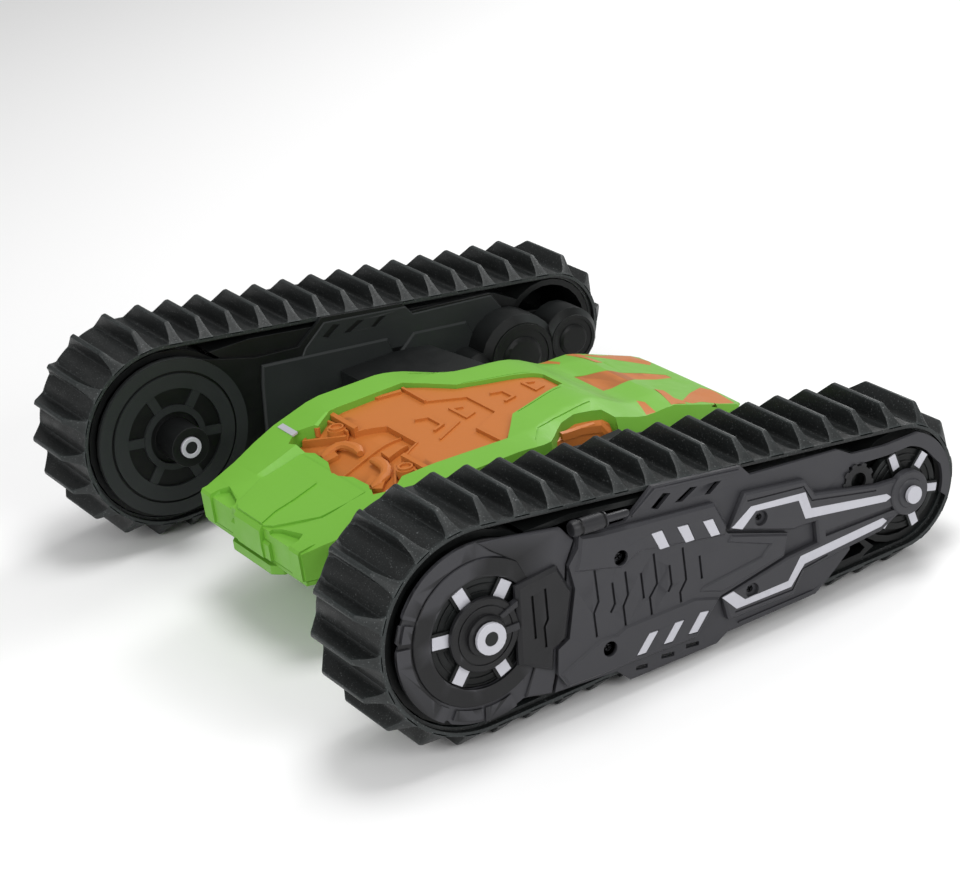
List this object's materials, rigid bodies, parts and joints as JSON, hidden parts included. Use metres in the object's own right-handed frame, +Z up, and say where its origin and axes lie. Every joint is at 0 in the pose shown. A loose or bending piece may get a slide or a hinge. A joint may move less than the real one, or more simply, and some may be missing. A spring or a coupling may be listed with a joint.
{
  "type": "tracked robot chassis",
  "caption": "Low tracked chassis: a hollow moulded hull on a cross tube between two swinging track units, each with a ribbed rubber belt, two drums and a geared motor.",
  "frame": {"origin": "on the ground, under the middle of the overall box", "axes": "+Z up, -Y towards the nose and the large drums, +X towards the left track unit"},
  "size_m": [0.3404, 0.2981, 0.1037],
  "materials": {
    "shell_green": "satin moulded plastic",
    "insert_orange": "satin moulded plastic",
    "frame_plastic": "fine textured black plastic",
    "belt_rubber": "matt moulded rubber",
    "silver_metal": "satin",
    "steel": "machined",
    "board_laminate": "solder mask",
    "battery_wrap": "shrink wrap",
    "gear_plastic": "natural acetal"
  },
  "bodies": {
    "root": {"hull_shell": "shell_green", "hull_tub": "shell_green", "hood_panel": "insert_orange", "tail_panel": "insert_orange", "left_vent_panel": "insert_orange", "right_vent_panel": "insert_orange", "battery_cover": "frame_plastic", "battery_pack": "battery_wrap", "circuit_board": "board_laminate", "pivot_tube": "steel", "left_bridge": "frame_plastic", "right_bridge": "frame_plastic", "left_clip": "steel", "right_clip": "steel"},
    "switch": {"power_switch": "frame_plastic"},
    "left_track": {"left_track_frame": "frame_plastic", "left_outer_plate": "frame_plastic", "left_inner_plate": "frame_plastic", "left_front_cover": "frame_plastic", "left_hub_arm": "frame_plastic", "left_armor_plate": "frame_plastic", "left_rear_fork": "frame_plastic", "left_gearbox_cover": "frame_plastic", "left_piston": "frame_plastic", "left_motor": "steel", "left_front_axle": "silver_metal", "left_belt": "belt_rubber", "left_screw_1": "steel", "left_screw_2": "steel", "left_screw_3": "steel", "left_screw_4": "steel"},
    "left_front_wheel": {"left_front_drum": "frame_plastic"},
    "left_rear_wheel": {"left_rear_drum": "frame_plastic", "left_rear_axle": "silver_metal", "left_drum_gear": "gear_plastic"},
    "left_idler": {"left_idler_gear": "gear_plastic"},
    "left_motor_shaft": {"left_pinion": "steel"},
    "right_track": {"right_track_frame": "frame_plastic", "right_outer_plate": "frame_plastic", "right_inner_plate": "frame_plastic", "right_front_cover": "frame_plastic", "right_hub_arm": "frame_plastic", "right_armor_plate": "frame_plastic", "right_rear_fork": "frame_plastic", "right_gearbox_cover": "frame_plastic", "right_piston": "frame_plastic", "right_motor": "steel", "right_front_axle": "silver_metal", "right_belt": "belt_rubber", "right_screw_1": "steel", "right_screw_2": "steel", "right_screw_3": "steel", "right_screw_4": "steel"},
    "right_front_wheel": {"right_front_drum": "frame_plastic"},
    "right_rear_wheel": {"right_rear_drum": "frame_plastic", "right_rear_axle": "silver_metal", "right_drum_gear": "gear_plastic"},
    "right_idler": {"right_idler_gear": "gear_plastic"},
    "right_motor_shaft": {"right_pinion": "steel"}
  },
  "joints": [
    {"name": "left_track_swing", "type": "hinge", "parent": "root", "child": "left_track", "pos_m": [0, 0.0078, 0.045], "axis": [1, 0, 0], "range_deg": [-50, 50]},
    {"name": "left_rear_wheel_spin", "type": "hinge", "parent": "left_track", "child": "left_rear_wheel", "pos_m": [0.1351, 0.1128, 0.0365], "axis": [1, 0, 0], "continuous": true},
    {"name": "left_front_wheel_spin", "type": "hinge", "parent": "left_track", "child": "left_front_wheel", "pos_m": [0.1351, -0.0972, 0.052], "axis": [1, 0, 0], "continuous": true},
    {"name": "left_idler_spin", "type": "hinge", "parent": "left_track", "child": "left_idler", "pos_m": [0.1351, 0.0828, 0.0365], "axis": [1, 0, 0], "continuous": true},
    {"name": "left_motor_spin", "type": "hinge", "parent": "left_track", "child": "left_motor_shaft", "pos_m": [0.1351, 0.0598, 0.0365], "axis": [1, 0, 0], "continuous": true},
    {"name": "right_track_swing", "type": "hinge", "parent": "root", "child": "right_track", "pos_m": [0, 0.0078, 0.045], "axis": [1, 0, 0], "range_deg": [-50, 50]},
    {"name": "right_rear_wheel_spin", "type": "hinge", "parent": "right_track", "child": "right_rear_wheel", "pos_m": [-0.1351, 0.1128, 0.0365], "axis": [1, 0, 0], "continuous": true},
    {"name": "right_front_wheel_spin", "type": "hinge", "parent": "right_track", "child": "right_front_wheel", "pos_m": [-0.1351, -0.0972, 0.052], "axis": [1, 0, 0], "continuous": true},
    {"name": "right_idler_spin", "type": "hinge", "parent": "right_track", "child": "right_idler", "pos_m": [-0.1351, 0.0828, 0.0365], "axis": [1, 0, 0], "continuous": true},
    {"name": "right_motor_spin", "type": "hinge", "parent": "right_track", "child": "right_motor_shaft", "pos_m": [-0.1351, 0.0598, 0.0365], "axis": [1, 0, 0], "continuous": true},
    {"name": "power_switch_slide", "type": "slide", "parent": "root", "child": "switch", "axis": [0, 1, 0], "range_m": [0, 0.005]}
  ],
  "couplings": [
    {"joint": "left_front_wheel_spin", "follows": "left_rear_wheel_spin", "ratio": 0.63443},
    {"joint": "left_idler_spin", "follows": "left_rear_wheel_spin", "ratio": -0.66667},
    {"joint": "left_motor_spin", "follows": "left_rear_wheel_spin", "ratio": 2.4},
    {"joint": "right_front_wheel_spin", "follows": "right_rear_wheel_spin", "ratio": 0.63443},
    {"joint": "right_idler_spin", "follows": "right_rear_wheel_spin", "ratio": -0.66667},
    {"joint": "right_motor_spin", "follows": "right_rear_wheel_spin", "ratio": 2.4}
  ]
}
